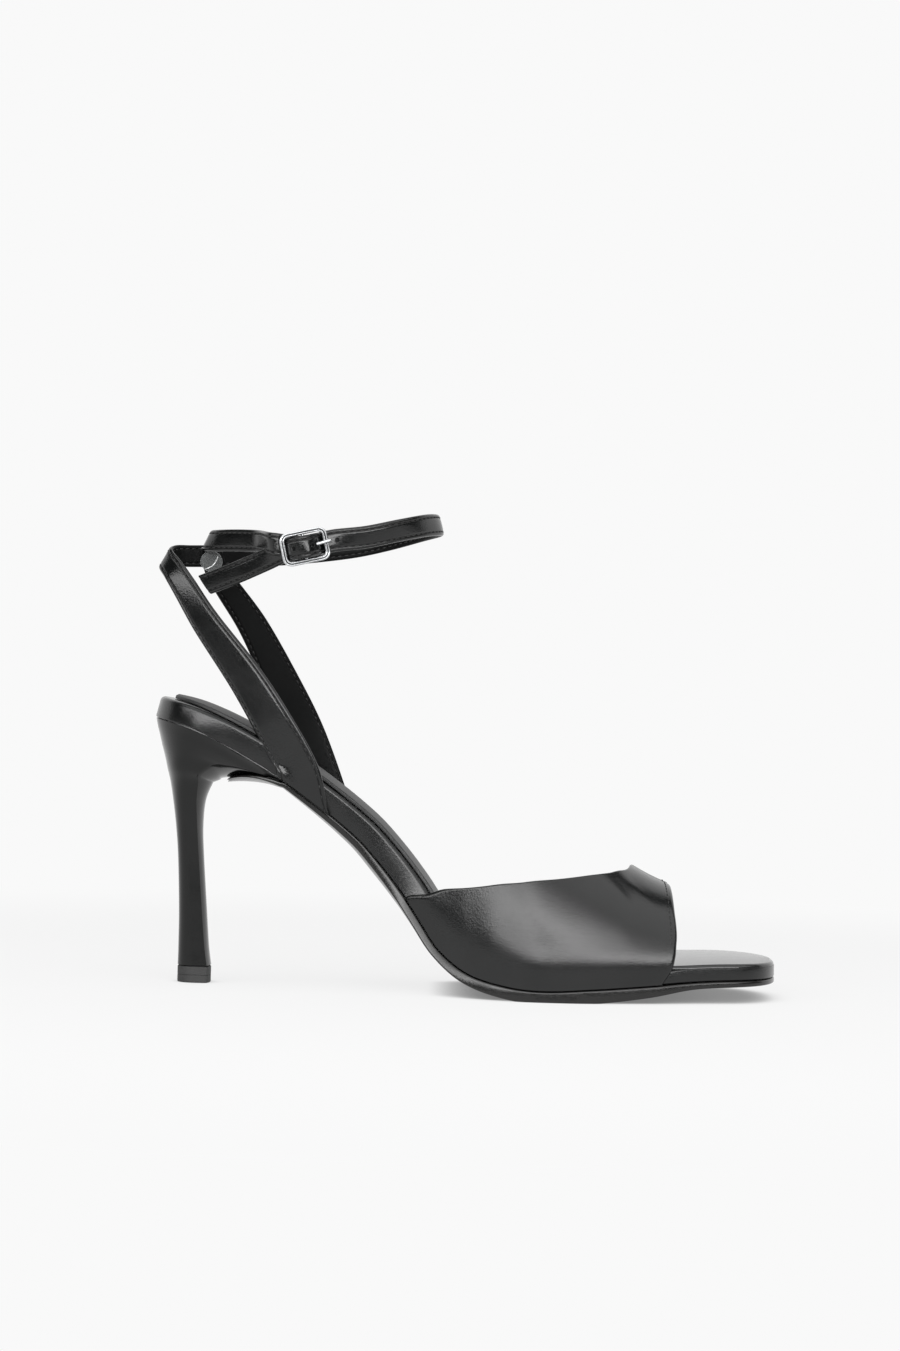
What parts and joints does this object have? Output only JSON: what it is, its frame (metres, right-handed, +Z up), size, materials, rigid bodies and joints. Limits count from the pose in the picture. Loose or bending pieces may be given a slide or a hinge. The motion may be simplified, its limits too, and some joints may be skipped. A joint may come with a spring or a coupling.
{
  "type": "high heel shoe",
  "caption": "Right-foot open-toe sandal with a tall slim heel, a curved covered footbed, a wide vamp band over the toes and crossed ankle straps closed by a side buckle.",
  "frame": {"origin": "on the floor under the middle of the heel's tip, where the tip rests", "axes": "+X along the foot to the toe, +Y to the medial side, so -Y is the lateral side with the buckle, +Z up"},
  "size_m": [0.2116, 0.0819, 0.1607],
  "materials": {
    "outsole": "dark sole leather, satin",
    "footbed_cover": "black leather, semi-gloss",
    "sock": "black lining leather, fine grain, matt",
    "heel": "dark grey lacquer, satin",
    "heel_tip": "hard black rubber, matt",
    "upper": "smooth black leather, semi-gloss",
    "buckle": "polished",
    "keeper": "clear, polished"
  },
  "bodies": {
    "root": {"outsole": "outsole", "footbed": "footbed_cover", "sock": "sock", "heel": "heel", "heel_tip": "heel_tip", "vamp": "upper", "ankle_straps": "upper", "buckle": "buckle", "buckle_prong": "buckle", "keeper": "keeper"}
  },
  "joints": []
}
